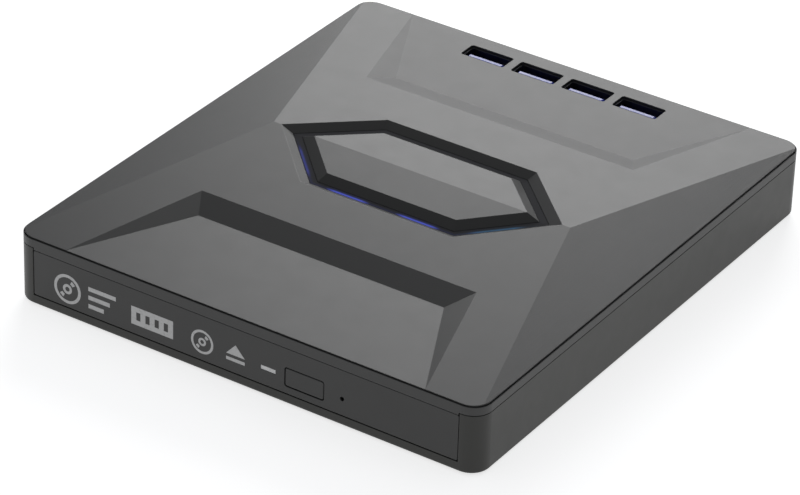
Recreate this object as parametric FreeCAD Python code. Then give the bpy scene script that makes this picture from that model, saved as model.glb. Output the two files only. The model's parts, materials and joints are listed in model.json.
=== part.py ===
"""External optical drive with a four port hub, built as separate named solids.

Frame: millimetres, +Z up, origin under the middle of the footprint on the plane the feet
stand on. -Y is the front (bezel side), +Y the rear, +X the right side seen from the front.
Heights in this file start UNDER_Z above the underside of the case; save() lifts every piece
so that the feet stand on that plane.
"""
import FreeCAD
import Part
import math
import os

V = FreeCAD.Vector
os.makedirs("parts", exist_ok=True)

# ---------------------------------------------------------------- case
FOOT = 0.6                 # how far the rubber feet stand below the case
CASE_W = 139.4             # case width, X
CASE_D = 158.2             # case depth, Y
HALF_W = CASE_W / 2
HALF_D = CASE_D / 2
CORNER_R = 5.3             # plan corner radius
UNDER_Z = -0.8             # underside of the case
BOTTOM_R = 0.8             # rounding of the bottom edge
SEAM_Z = 15.75             # parting line between base and cover
SEAM = 0.2                 # gap along the parting line
WALL = 2.0                 # side wall of base and cover
PLATE = 1.6                # base plate thickness
FLOOR_Z = UNDER_Z + PLATE  # inside face of the base plate
OVER = 1.0                 # how far a cutting tool runs past the face it cuts
BITE = 0.1                 # how far joined features overlap

EAVE_Z = 18.5              # foot of the roof facets, also the level of both recess floors
RIDGE_Z = 22.62            # top of the roof
RIDGE_X = 45.7             # half length of the ridge
SLOPE = (RIDGE_Z - EAVE_Z) / HALF_D
SKIN = 1.8                 # roof thickness
ROOF_IN = 0.4              # roof starts this far inside the rim band
RIM_Z = 18.25              # top of the rim band
RIM_LAND = 0.15            # width of the rim band's top
RIM_GROOVE = 0.5           # depth of the groove between rim band and roof
RIM_BEVEL = 0.1            # chamfer along the rim band's top

HEX_TIP = 43.35            # outer hexagon of the light groove, tip on X
HEX_Y = 20.15              # outer hexagon, half height on Y
ISLE_TIP = 32.8            # inner hexagon (raised island)
ISLE_Y = 13.0
GROOVE_D = 1.53            # groove depth under the roof surface
GROOVE_W = 2.7             # plan width of each sloping groove wall
RING_D = 1.0               # light ring thickness
RING_SINK = 0.05           # light ring lies this far under the groove floor
RING_GAP = 0.08            # clearance of the light ring at each side
LEG_R = 0.7                # light ring legs
LEG_FIT = 0.06

REC_APEX_X = 54.0          # recess floor: half width at the case edge
REC_FLOOR_X = 37.25        # recess floor: half width at its inner end
REC_FLOOR_Y = 45.2         # distance of that inner end from the middle
REC_TOP_X = 41.8           # same corner on the roof surface
REC_TOP_Y = 37.5

OPEN_W = 128.0             # front opening for the drive bezel
OPEN_Z0 = 1.95
OPEN_Z1 = 15.25

# ---------------------------------------------------------------- screws and feet
CASE_SCREWS = [(-66.0, -64.0), (66.0, -64.0), (-64.0, 72.0), (64.0, 72.0)]
CASE_SCREW_R = 0.8
CASE_SCREW_TIP = 17.4
CASE_HEAD_R = 1.85
CASE_HEAD_T = 0.8
CASE_BOSS_R = 1.6
BOARD_SCREWS = [(-20.0, -11.0), (20.0, -11.0), (-20.0, 11.0), (20.0, 11.0)]
BOARD_SCREW_R = 0.6
BOARD_SCREW_TIP = 19.4
BOARD_BOSS_R = 1.8
HUB_SCREWS = [(-57.0, 55.0), (57.0, 55.0), (-57.0, 73.0), (57.0, 73.0)]
HUB_SCREW_R = 0.9
HUB_SCREW_TIP = 0.5
THREAD_FIT = 0.03          # screw holes are larger than their screws by this radius
FEET = [(sx * 56.5, sy * 65.5) for sx in (-1, 1) for sy in (-1, 1)]
FOOT_R = 5.0
FOOT_POCKET = 0.4

# ---------------------------------------------------------------- hub board and sockets
HUB_X = 60.0               # half width of the hub board
HUB_Y0 = 52.0
HUB_Y1 = 76.0
HUB_Z0 = 2.2
HUB_Z1 = 3.2
PORT_PITCH = 16.05         # spacing of the four upward ports
PORTS = [(i - 1.5) * PORT_PITCH for i in range(4)]
PORT_Y = 70.5
PORT_W = 13.2              # metal shell, outside
PORT_T = 5.8
PORT_SHEET = 0.3
PORT_TOP = 17.8
TONGUE_X = 5.55            # half width of the plastic tongue
TONGUE_T = 1.84
TONGUE_TOP = 17.6
USBC_X = 36.0
USBC_Z = 4.82
JACK_X = -44.0
JACK_Z = 6.4
LAMP_Z = 17.4              # top of the lamp board
LAMP_BOARD_T = 0.8
LAMP_PLACES = ((10.7, 16.58), (29.2, 8.87))
LAMPS = [(sx * x, sy * y) for sx in (-1, 1) for sy in (-1, 1) for x, y in LAMP_PLACES]

# ---------------------------------------------------------------- drive
DRV_W = 127.6              # drive chassis
DRV_Z0 = 2.1
DRV_Z1 = 14.8
DRV_Y0 = -74.6
DRV_Y1 = 50.0
TUB_TOP = 13.9
SHEET = 0.5                # sheet steel of tub and lid
LID_SKIRT_Z = 10.8
LID_GAP = 0.06
LID_X = DRV_W / 2 + SHEET
LID_SCREW_Z = 12.4
LID_SCREWS = [(sx * LID_X, y) for y in (-55.0, 35.0) for sx in (-1, 1)]

SPIN_Y = -13.0             # spindle axis (X = 0)
DISC_R = 60.6              # tray recess for a 120 mm disc
SMALL_DISC_R = 40.6        # tray recess for an 80 mm disc
TRAY_W = 120.0
TRAY_Y0 = -74.8
TRAY_Y1 = 48.8
TRAY_Z0 = 3.4
TRAY_Z1 = 12.9
TRAY_FLOOR = 10.6          # top of the recess floor
TRAY_UNDER = 9.0           # underside of the recess floor
SIDE_T = 2.0               # side walls of the tray
FRONT_T = 1.2              # front and rear walls of the tray
SEAT_Z = 11.0              # turntable seat, under the rubber ring
LUGS = [(-27.0, -62.0), (-27.0, -2.0), (31.5, -20.0)]      # traverse fixings
TRAY_POSTS = [(-52.0, 12.0), (52.0, 12.0), (-52.0, 42.0), (52.0, 42.0)]

BEZ_X = OPEN_W / 2 - 0.22
BEZ_Y0 = -HALF_D + 0.05
BEZ_Z0 = OPEN_Z0 + 0.28
BEZ_Z1 = OPEN_Z1 - 0.17
BEZ_T = 1.5                # bezel face thickness
BTN_X0 = 13.6              # eject button
BTN_X1 = 24.9
BTN_Z0 = 4.4
BTN_Z1 = 9.5
BTN_CX = (BTN_X0 + BTN_X1) / 2
BTN_CZ = (BTN_Z0 + BTN_Z1) / 2
BTN_GAP = 0.26             # gap round the button
BTN_BACK = -76.9           # rear face of the button's flange
SWITCH_X = BTN_CX - 3.2
SPRING_X = BTN_CX + 2.6
SPRING_R = 1.25
SPRING_WIRE = 0.15
SPRING_PITCH = 0.52
SPRING_END = 0.2           # gap between the spring and what it pushes on
LED_X = 8.5                # status lamp lens
LED_Z = 7.05
PIN_X = 30.4               # emergency release hole
PIN_Z = 6.9
PIN_R = 0.6

LENS_Y = SPIN_Y - 25.0     # pickup lens at its inner stop
ROD_X = 17.0
ROD_Z = 6.2
ROD_R = 0.99
ROD_HOLE_R = 1.05
ROD_Y0 = -73.3
ROD_Y1 = -23.8
LEAD_X = 23.0              # lead screw, level with the rods
LEAD_TIP_R = 0.5
LEAD_TIP_HOLE_R = 0.55
LEAD_PITCH = 3.0
FRAME_Z0 = 3.8             # traverse frame sheet
FRAME_Z1 = 4.6

HOOK_X = 36.0              # latch pivot
HOOK_Y = -50.0
HOOK_Z0 = 3.55
HOOK_Z1 = 4.55
HOOK_HALF = 1.2            # half width of the hook's arms
PIVOT_R = 0.75
CATCH_X = 40.0             # latch pin on the chassis
CATCH_Y = -62.0
HOOK_REST = -13.0          # released angle of the hook, degrees


# ---------------------------------------------------------------- helpers
def box(x0, x1, y0, y1, z0, z1):
    return Part.makeBox(x1 - x0, y1 - y0, z1 - z0, V(x0, y0, z0))


def block(x, y, w, d, z0, z1):
    return box(x - w / 2, x + w / 2, y - d / 2, y + d / 2, z0, z1)


def round_along(solid, direction, r):
    edges = [e for e in solid.Edges if abs(e.tangentAt(e.FirstParameter).dot(direction)) > 0.99]
    return solid.makeFillet(r, edges)


def rbox(x0, x1, y0, y1, z0, z1, r):
    return round_along(box(x0, x1, y0, y1, z0, z1), V(0, 0, 1), r)


def rbox_y(x0, x1, y0, y1, z0, z1, r):
    return round_along(box(x0, x1, y0, y1, z0, z1), V(0, 1, 0), r)


def cyl(x, y, z0, z1, r):
    return Part.makeCylinder(r, z1 - z0, V(x, y, z0))


def cyl_y(x, z, y0, y1, r):
    return Part.makeCylinder(r, y1 - y0, V(x, y0, z), V(0, 1, 0))


def posts(points, z0, z1, r):
    return [cyl(x, y, z0, z1, r) for x, y in points]


def fuse(shapes):
    return shapes[0].multiFuse(shapes[1:]).removeSplitter()


def group(shapes):
    return Part.makeCompound(shapes)


def mirror_x(shape):
    return shape.mirror(V(0, 0, 0), V(1, 0, 0))


def mirror_y(shape):
    return shape.mirror(V(0, 0, 0), V(0, 1, 0))


def polygon(points):
    return Part.Face(Part.makePolygon(points + [points[0]]))


def solid_of(faces):
    solid = Part.Solid(Part.Shell(faces))
    if solid.Volume < 0:
        solid.reverse()
    return solid


def prismoid(low, high):
    """Solid between two level polygons with the same number of corners."""
    faces = [polygon(low), polygon(high)]
    count = len(low)
    for i in range(count):
        j = (i + 1) % count
        faces.append(polygon([low[i], low[j], high[j], high[i]]))
    return solid_of(faces)


def turned(profile):
    """Solid turned about the spindle axis from (radius, height) corners."""
    ring = polygon([V(r, 0, z) for r, z in profile]).revolve(V(0, 0, 0), V(0, 0, 1), 360)
    solid = Part.Solid(ring) if ring.ShapeType == "Shell" else ring
    solid.translate(V(0, SPIN_Y, 0))
    return solid


def outline(inset, z0, z1):
    """Rounded plan of the case, drawn in by inset."""
    r = max(CORNER_R - inset, 0.8)
    return rbox(-HALF_W + inset, HALF_W - inset, -HALF_D + inset, HALF_D - inset, z0, z1, r)


def save(name, shape):
    out = shape.copy()
    out.translate(V(0, 0, FOOT - UNDER_Z))
    assert out.Solids, name
    for solid in out.Solids:
        assert solid.isValid() and solid.Volume > 0, name
    if len(out.Solids) == 1:
        out = out.Solids[0]
    out.exportStep("parts/" + name + ".step")


# ---------------------------------------------------------------- cover
def roof_body(drop):
    """Hipped roof with a level ridge on the X axis, lowered by drop."""
    foot_z = 8.0
    foot = [V(-HALF_W, -HALF_D, foot_z), V(HALF_W, -HALF_D, foot_z),
            V(HALF_W, HALF_D, foot_z), V(-HALF_W, HALF_D, foot_z)]
    eave = [V(p.x, p.y, EAVE_Z - drop) for p in foot]
    left = V(-RIDGE_X, 0, RIDGE_Z - drop)
    right = V(RIDGE_X, 0, RIDGE_Z - drop)
    faces = [polygon(foot)]
    for i in range(4):
        j = (i + 1) % 4
        faces.append(polygon([foot[i], foot[j], eave[j], eave[i]]))
    faces.append(polygon([eave[0], eave[1], right, left]))
    faces.append(polygon([eave[2], eave[3], left, right]))
    faces.append(polygon([eave[1], eave[2], right]))
    faces.append(polygon([eave[3], eave[0], left]))
    return solid_of(faces)


def recess_tool(drop):
    """Space over the front recess: level floor, sloping back and side walls."""
    rise = SLOPE * (HALF_D - REC_TOP_Y)
    edge = V(HALF_D - REC_FLOOR_Y, REC_APEX_X - REC_FLOOR_X, 0)
    edge.normalize()
    back_run = REC_FLOOR_Y - REC_TOP_Y
    side_run = edge.x * (REC_TOP_X - REC_FLOOR_X) + edge.y * back_run
    high = 5.0
    out_y = -HALF_D - 6.0
    levels = []
    for z in (0.0, high):
        shift = side_run / rise * z
        back_y = -REC_FLOOR_Y + back_run / rise * z
        out_x = REC_APEX_X + (shift - edge.y * (out_y + HALF_D)) / edge.x
        back_x = REC_APEX_X + (shift - edge.y * (back_y + HALF_D)) / edge.x
        level = EAVE_Z - drop + z
        levels.append([V(-out_x, out_y, level), V(out_x, out_y, level),
                       V(back_x, back_y, level), V(-back_x, back_y, level)])
    return prismoid(levels[0], levels[1])


def half_hex(tip, half_y, inset, depth):
    """Front half of a hexagon that lies depth under the roof, drawn in by inset."""
    tip_x = tip - inset * math.sqrt(2)
    side_y = half_y - inset
    side_x = tip_x - side_y
    corners = ((-tip_x, 0.0), (-side_x, -side_y), (side_x, -side_y), (tip_x, 0.0))
    return [V(x, y, RIDGE_Z + SLOPE * y - depth) for x, y in corners]


def hex_block(tip, half_y, inset_low, inset_high, depth_low, depth_high):
    return prismoid(half_hex(tip, half_y, inset_low, depth_low),
                    half_hex(tip, half_y, inset_high, depth_high))


def both_halves(outer, inner):
    half = outer.cut(inner)
    return fuse([half, mirror_y(half)])


def groove_tool(drop):
    """Space of the light groove, with sloping walls, lowered by drop."""
    flare = GROOVE_W / GROOVE_D * OVER
    outer = hex_block(HEX_TIP, HEX_Y, GROOVE_W, -flare, GROOVE_D + drop, drop - OVER)
    inner = hex_block(ISLE_TIP, ISLE_Y, -GROOVE_W - flare, flare, GROOVE_D + drop + OVER, drop - OVER)
    return both_halves(outer, inner)


def hex_ring(inset, depth_low, depth_high):
    """Flat hexagonal ring in the groove floor, between two depths under the roof."""
    past = 0.5
    outer = hex_block(HEX_TIP, HEX_Y, inset, inset, depth_low, depth_high)
    inner = hex_block(ISLE_TIP, ISLE_Y, -inset, -inset, depth_low + past, depth_high - past)
    return both_halves(outer, inner)


def rim_band():
    band = outline(0, SEAM_Z + SEAM, RIM_Z)
    top_edges = [e for e in band.Edges if e.BoundBox.ZMin > RIM_Z - BITE]
    band = band.makeChamfer(RIM_BEVEL, top_edges)
    groove = outline(RIM_LAND, RIM_Z - RIM_GROOVE, RIM_Z + OVER)
    return band.cut(groove.cut(outline(ROOF_IN, SEAM_Z, RIM_Z + 2 * OVER)))


def port_holes():
    gap = 0.15
    half_w = PORT_W / 2 + gap
    half_t = PORT_T / 2 + gap
    return [rbox(x - half_w, x + half_w, PORT_Y - half_t, PORT_Y + half_t, 15.5, EAVE_Z + OVER, 0.7)
            for x in PORTS]


def top_cover():
    clear = 30.0           # higher than anything on the roof
    cover = fuse([rim_band(), roof_body(0).common(outline(ROOF_IN, SEAM_Z + SEAM, clear))])
    low_recess = recess_tool(SKIN)
    cavity = roof_body(SKIN).common(outline(WALL + 0.2, SEAM_Z - OVER, clear))
    cavity = cavity.cut([low_recess, mirror_y(low_recess), groove_tool(SKIN)])
    recess = recess_tool(0)
    cover = cover.cut(cavity).cut([recess, mirror_y(recess), groove_tool(0)])
    cover = cover.cut(hex_ring(GROOVE_W - 0.03, GROOVE_D + RING_D + RING_SINK, GROOVE_D - BITE))
    lip_x = OPEN_W / 2 - 0.3
    lip = box(-lip_x, lip_x, -HALF_D, -HALF_D + WALL, OPEN_Z1, SEAM_Z + 0.6)
    bosses = (posts(CASE_SCREWS, SEAM_Z + SEAM / 2, 18.2, CASE_BOSS_R)
              + posts(BOARD_SCREWS, LAMP_Z + 0.05, 20.0, BOARD_BOSS_R))
    holes = (posts(CASE_SCREWS, SEAM_Z - OVER, CASE_SCREW_TIP + 0.2, CASE_SCREW_R + THREAD_FIT)
             + posts(BOARD_SCREWS, LAMP_Z - OVER, BOARD_SCREW_TIP + 0.2, BOARD_SCREW_R + THREAD_FIT)
             + posts(LAMPS, LAMP_Z - OVER, 20.6, LEG_R + LEG_FIT))
    return fuse([cover, lip] + bosses).cut(holes + port_holes())


# ---------------------------------------------------------------- lights under the groove
def light_ring():
    """Translucent ring in the groove floor with one leg down to each lamp."""
    ring = hex_ring(GROOVE_W + RING_GAP - 0.03, GROOVE_D + RING_D, GROOVE_D + RING_SINK)
    return fuse([ring] + posts(LAMPS, LAMP_Z + 0.7, 20.0, LEG_R))


def level_hexagon(tip, half_y):
    side_x = tip - half_y
    corners = [(-tip, 0), (-side_x, -half_y), (side_x, -half_y),
               (tip, 0), (side_x, half_y), (-side_x, half_y)]
    face = polygon([V(x, y, LAMP_Z - LAMP_BOARD_T) for x, y in corners])
    return face.extrude(V(0, 0, LAMP_BOARD_T))


def light_board():
    board = level_hexagon(41.0, 19.6).cut(level_hexagon(23.0, 7.6))
    return board.cut(posts(BOARD_SCREWS, LAMP_Z - 2 * OVER, LAMP_Z + OVER, 0.8))


def ring_lamps():
    return group([block(x, y, 1.8, 1.4, LAMP_Z, LAMP_Z + 0.6) for x, y in LAMPS])


def light_flex():
    """Flat lead from the lamp board over the drive and down to its plug on the hub board."""
    half = 3.0
    film = 0.12
    near_y = 14.0
    far_y = 54.0
    run_z = 15.42
    lead = fuse([box(-half, half, near_y, far_y, run_z, run_z + film),
                 box(-half, half, near_y, near_y + film, run_z, LAMP_Z - LAMP_BOARD_T),
                 box(-half, half, far_y - film, far_y, HUB_Z1 + 1.8, run_z + film)])
    plug = block(0, far_y, 8.0, 2.0, HUB_Z1, HUB_Z1 + 2.2)
    slot = box(-half - 0.1, half + 0.1, far_y - 0.2, far_y + 0.1, HUB_Z1 + 1.7, HUB_Z1 + 3.0)
    return group([lead, plug.cut(slot)])


def board_screws():
    """Small screws of the lamp board and the hub board."""
    under = LAMP_Z - LAMP_BOARD_T
    screws = []
    for x, y in BOARD_SCREWS:
        screws.append(fuse([cyl(x, y, under - 0.6, under, 1.5),
                            cyl(x, y, under - BITE, BOARD_SCREW_TIP, BOARD_SCREW_R)]))
    for x, y in HUB_SCREWS:
        screws.append(fuse([cyl(x, y, HUB_Z1, HUB_Z1 + 0.9, 2.0),
                            cyl(x, y, HUB_SCREW_TIP, HUB_Z1 + BITE, HUB_SCREW_R)]))
    return group(screws)


# ---------------------------------------------------------------- base
def side_ribs():
    """Upright ribs on the inside of both side walls."""
    ribs = []
    for y in (-40.0, 0.0, 40.0):
        rib = box(64.5, HALF_W - WALL + BITE, y - 0.8, y + 0.8, FLOOR_Z - BITE, 12.0)
        ribs += [rib, mirror_x(rib)]
    return ribs


def base_vents():
    slots = []
    for i in range(9):
        x = (i - 4) * 6.0
        slots.append(rbox(x - 0.9, x + 0.9, 52, 66, UNDER_Z - OVER, FLOOR_Z + OVER, 0.85))
    return slots


def base_shell():
    below = UNDER_Z - OVER
    shell = outline(0, UNDER_Z, SEAM_Z)
    bottom_edges = [e for e in shell.Edges if e.BoundBox.ZMax < UNDER_Z + BITE]
    shell = shell.makeFillet(BOTTOM_R, bottom_edges)
    front_opening = box(-OPEN_W / 2, OPEN_W / 2, -HALF_D - OVER, -HALF_D + WALL + OVER,
                        OPEN_Z0, SEAM_Z + OVER)
    shell = shell.cut([outline(WALL, FLOOR_Z, SEAM_Z + OVER), front_opening])
    root = FLOOR_Z - BITE
    pads = [(x, y) for x in (-50.0, 50.0) for y in (-62.0, 40.0)]
    shell = fuse([shell] + posts(CASE_SCREWS, root, SEAM_Z - SEAM, CASE_BOSS_R)
                 + posts(HUB_SCREWS, root, HUB_Z0, 2.2) + posts(pads, root, DRV_Z0, 4.0) + side_ribs())
    label_recess = rbox(-32, 32, -30, 14, below, UNDER_Z + 0.2, 2.0)
    usbc_hole = rbox_y(USBC_X - 4.75, USBC_X + 4.75, 76, 80, USBC_Z - 1.87, USBC_Z + 1.93, 1.85)
    jack_hole = cyl_y(JACK_X, JACK_Z, 76, 80, 3.4)
    tools = (posts(CASE_SCREWS, below, SEAM_Z + OVER, CASE_SCREW_R + 0.15)
             + posts(CASE_SCREWS, below, UNDER_Z + CASE_HEAD_T, CASE_HEAD_R + 0.15)
             + posts(HUB_SCREWS, HUB_SCREW_TIP - 0.05, HUB_Z1, HUB_SCREW_R + THREAD_FIT)
             + posts(FEET, below, UNDER_Z + FOOT_POCKET, FOOT_R + 0.2)
             + base_vents() + [label_recess, usbc_hole, jack_hole])
    return shell.cut(tools)


def rubber_feet():
    return group(posts(FEET, UNDER_Z - FOOT, UNDER_Z + FOOT_POCKET, FOOT_R))


def case_screws():
    slot_l = 2.2
    slot_w = 0.4
    slot_top = UNDER_Z + 0.4
    head_top = UNDER_Z + CASE_HEAD_T
    screws = []
    for x, y in CASE_SCREWS:
        screw = fuse([cyl(x, y, UNDER_Z + BITE, head_top, CASE_HEAD_R),
                      cyl(x, y, head_top - BITE, CASE_SCREW_TIP, CASE_SCREW_R)])
        slots = [block(x, y, slot_l, slot_w, UNDER_Z, slot_top),
                 block(x, y, slot_w, slot_l, UNDER_Z, slot_top)]
        screws.append(screw.cut(slots))
    return group(screws)


# ---------------------------------------------------------------- hub board and sockets
def hub_board():
    board = box(-HUB_X, HUB_X, HUB_Y0, HUB_Y1, HUB_Z0, HUB_Z1)
    return board.cut(posts(HUB_SCREWS, 0, HUB_Z1 + OVER, 1.0))


def hub_chips():
    """Hub controller, two regulators, five capacitors and a row of small parts."""
    parts = [rbox(-6, 6, 58, 65, HUB_Z1, HUB_Z1 + 1.1, 0.4),
             block(-27, 61, 6, 6, HUB_Z1, HUB_Z1 + 1.0),
             block(19, 59.5, 6, 5, HUB_Z1, HUB_Z1 + 1.0)]
    parts += posts([(26.0 + 6.5 * i, 60.5) for i in range(5)], HUB_Z1, HUB_Z1 + 5.0, 2.2)
    parts += [block(-53.2 + 4.0 * i, 61.45, 1.6, 0.9, HUB_Z1, HUB_Z1 + 0.7) for i in range(8)]
    return group(parts)


def port_springs(x):
    """Sprung tabs pressed in from the long walls of one port's shell."""
    tabs = []
    for dx in (-3.0, 3.0):
        for side in (-1, 1):
            depth = PORT_SHEET + 0.2
            tab = block(x + dx, PORT_Y + side * (PORT_T / 2 - depth / 2), 1.8, depth, 11.4, 16.0)
            tabs.append(tab.cut(block(x + dx, PORT_Y, 1.1, 8.0, 12.0, 17.0)))
    return tabs


def usb_shell(x):
    half_w = PORT_W / 2
    half_t = PORT_T / 2
    shell = rbox(x - half_w, x + half_w, PORT_Y - half_t, PORT_Y + half_t, HUB_Z1, PORT_TOP, 0.6)
    bore = rbox(x - half_w + PORT_SHEET, x + half_w - PORT_SHEET, PORT_Y - half_t + PORT_SHEET,
                PORT_Y + half_t - PORT_SHEET, HUB_Z1 - OVER, PORT_TOP + OVER, 0.3)
    return fuse([shell.cut(bore)] + port_springs(x))


def usb_tongue(x):
    """Plastic core of a port: a block at the bottom and a tongue with a bevelled tip."""
    gap = PORT_SHEET + 0.05
    foot_top = 8.6
    foot = rbox(x - PORT_W / 2 + gap, x + PORT_W / 2 - gap, PORT_Y - PORT_T / 2 + gap,
                PORT_Y + PORT_T / 2 - gap, HUB_Z1, foot_top, 0.25)
    tongue = box(x - TONGUE_X, x + TONGUE_X, PORT_Y - TONGUE_T - 0.01, PORT_Y - 0.01,
                 foot_top - BITE, TONGUE_TOP)
    tip = [e for e in tongue.Edges if e.BoundBox.ZMin > TONGUE_TOP - BITE]
    return fuse([foot, tongue.makeChamfer(0.4, tip)])


def usbc_shell():
    outer = rbox_y(USBC_X - 4.47, USBC_X + 4.47, 70.5, 78.6, USBC_Z - 1.6, USBC_Z + 1.6, 1.5)
    return outer.cut(rbox_y(USBC_X - 4.17, USBC_X + 4.17, 71.5, 79, USBC_Z - 1.3, USBC_Z + 1.3, 1.25))


def usbc_tongue():
    back_y = 71.5
    return fuse([box(USBC_X - 3.3, USBC_X + 3.3, back_y, 77.6, USBC_Z - 0.35, USBC_Z + 0.35),
                 box(USBC_X - 3.4, USBC_X + 3.4, back_y, back_y + 1.1, USBC_Z - 0.92, USBC_Z + 0.93)])


def power_jack():
    body = fuse([box(JACK_X - 4.5, JACK_X + 4.5, 66, 76.9, HUB_Z1, 9.8),
                 cyl_y(JACK_X, JACK_Z, 76.5, 78.7, 3.1)])
    return body.cut(cyl_y(JACK_X, JACK_Z, 68, 80, 2.75))


def jack_pin():
    return cyl_y(JACK_X, JACK_Z, 68, 77.6, 0.65)


def sata_connector():
    """Connector on the hub board that the drive plugs into."""
    housing = box(-50, -16, 50.6, 56.5, HUB_Z1, 7.6).cut(box(-48, -18, 50, 54.5, 4.2, 6.4))
    return fuse([housing, box(-47, -19, 51.2, 55.0, 4.9, 5.7)])


# ---------------------------------------------------------------- drive chassis
def side_cylinders(inner, length, r):
    """Cylinders on the four lid screw axes, starting inner millimetres inside the lid's side."""
    found = []
    for x, y in LID_SCREWS:
        side = math.copysign(1.0, x)
        found.append(Part.makeCylinder(r, length, V(x - side * inner, y, LID_SCREW_Z), V(side, 0, 0)))
    return found


def drive_tub():
    half = DRV_W / 2
    tub = box(-half, half, DRV_Y0, DRV_Y1, DRV_Z0, TUB_TOP)
    tub = tub.cut(box(-half + SHEET, half - SHEET, DRV_Y0 - OVER, DRV_Y1 - SHEET,
                      DRV_Z0 + SHEET, TUB_TOP + OVER))
    plug_window = box(-48.5, -17.5, 49, 51, 3.6, 7.2)
    return tub.cut([plug_window, cyl(CATCH_X, CATCH_Y, 2, 3, 0.7)] + side_cylinders(1.5, 3.0, 0.62))


def drive_lid():
    reach = DRV_W / 2 + LID_GAP
    lid = box(-LID_X, LID_X, DRV_Y0, DRV_Y1 + 0.45, LID_SKIRT_Z, DRV_Z1)
    lid = lid.cut(box(-reach, reach, DRV_Y0 - OVER, DRV_Y1 + LID_GAP, LID_SKIRT_Z - OVER, DRV_Z1 - SHEET))
    beads = []
    for r in (56.0, 20.0):
        bead = cyl(0, SPIN_Y, DRV_Z1 - BITE, DRV_Z1 + 0.25, r)
        beads.append(bead.cut(cyl(0, SPIN_Y, DRV_Z1 - 0.2, DRV_Z1 + 0.4, r - 1.5)))
    return fuse([lid] + beads).cut(side_cylinders(1.5, 3.0, 0.62))


def lid_screws():
    pairs = zip(side_cylinders(1.2, 1.2, 0.6), side_cylinders(0, 0.2, 1.0))
    return group([fuse([shaft, head]) for shaft, head in pairs])


def latch_pin():
    return fuse([cyl(CATCH_X, CATCH_Y, DRV_Z0, DRV_Z0 + SHEET + BITE, 0.68),
                 cyl(CATCH_X, CATCH_Y, DRV_Z0 + SHEET, 4.5, 1.0)])


def guide_right():
    return box(60.3, 63.28, -73.5, 47.5, 4.6, 9.4).cut(box(60, 62.7, -74, 44, 5.4, 8.6))


def rail_right():
    return box(59.3, 62.5, -70.0, 42.0, 5.6, 8.4).cut(box(60.4, 63, -71, 43, 6.2, 7.8))


def ffc_ribbon():
    """Flat ribbon folded back on itself between the chassis and the tray."""
    x0 = -34.0
    x1 = -14.0
    film = 0.1
    low_z = 2.62
    high_z = 2.84
    fold_y = -26.0
    return fuse([box(x0, x1, fold_y, 49.4, low_z, low_z + film),
                 box(x0, x1, fold_y - 0.12, fold_y, low_z, high_z + film),
                 box(x0, x1, fold_y, 30.0, high_z, high_z + film)])


# ---------------------------------------------------------------- tray
def tray():
    half = TRAY_W / 2
    solid = box(-half, half, TRAY_Y0, TRAY_Y1, TRAY_Z0, TRAY_Z1)
    hollow = box(-half + SIDE_T, half - SIDE_T, TRAY_Y0 + FRONT_T, TRAY_Y1 - FRONT_T,
                 TRAY_Z0 - OVER, TRAY_UNDER)
    top = TRAY_Z1 + OVER
    rail_slot = box(59.1, half + OVER, TRAY_Y0 + 2.5, TRAY_Y1 + OVER, 5.45, 8.55)
    hook_path = box(CATCH_X - 1.5, CATCH_X + 1.5, 40, TRAY_Y1 + OVER, TRAY_Z0 - OVER, 4.7)
    finger_notches = posts([(-47.0, SPIN_Y + 46.0), (47.0, SPIN_Y + 46.0)], TRAY_FLOOR - 0.8, top, 11.0)
    solid = solid.cut([hollow, rail_slot, mirror_x(rail_slot), hook_path,
                       cyl(0, SPIN_Y, TRAY_FLOOR, top, DISC_R),
                       cyl(0, SPIN_Y, TRAY_FLOOR - 0.6, top, SMALL_DISC_R),
                       cyl(0, SPIN_Y, TRAY_UNDER - OVER, top, 17.5),
                       box(-20.5, 20.5, -71.6, SPIN_Y, TRAY_UNDER - OVER, top),
                       box(-6.5, 6.5, TRAY_Y0 + FRONT_T, -71, TRAY_UNDER - OVER, top)] + finger_notches)
    root = TRAY_UNDER + BITE
    pivot = [cyl(HOOK_X, HOOK_Y, HOOK_Z0 - 0.05, root, PIVOT_R),
             cyl(HOOK_X, HOOK_Y, HOOK_Z1 + 0.15, root, 1.6)]
    solid = fuse([solid] + pivot + posts(LUGS, 6.7, root, 2.4) + posts(TRAY_POSTS, 6.0, root, 2.0))
    return solid.cut(posts(LUGS, 5, 8.6, 0.93))


def tray_bottom():
    """Steel sheet under the tray, open round the latch pin and the ribbon."""
    sheet = box(-59.0, 59.0, -74.0, 48.0, 3.0, TRAY_Z0)
    return sheet.cut([box(CATCH_X - 1.4, CATCH_X + 1.4, CATCH_Y - 1.6, 49, 2, 4),
                      box(-35, -13, 22, 31, 2, 4)])


def tray_board():
    board = box(-56, 56, 9.0, 47.0, 5.0, 5.8)
    return board.cut(cyl(0, SPIN_Y, 4, 7, 24.0))


def tray_chips():
    """Drive controller, motor driver, memory, ribbon connector and a row of small parts."""
    top = 5.8
    parts = [rbox(-12, 2, 24, 38, top, top + 1.2, 0.5), rbox(14, 24, 26, 36, top, top + 1.1, 0.5),
             box(-40, -30, 30, 36, top, top + 1.0), box(-33, -15, 14, 17, top, top + 1.8)]
    parts += [block(30.9 + 3.6 * i, 20.5, 1.8, 1.0, top, top + 0.8) for i in range(6)]
    return group(parts)


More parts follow.
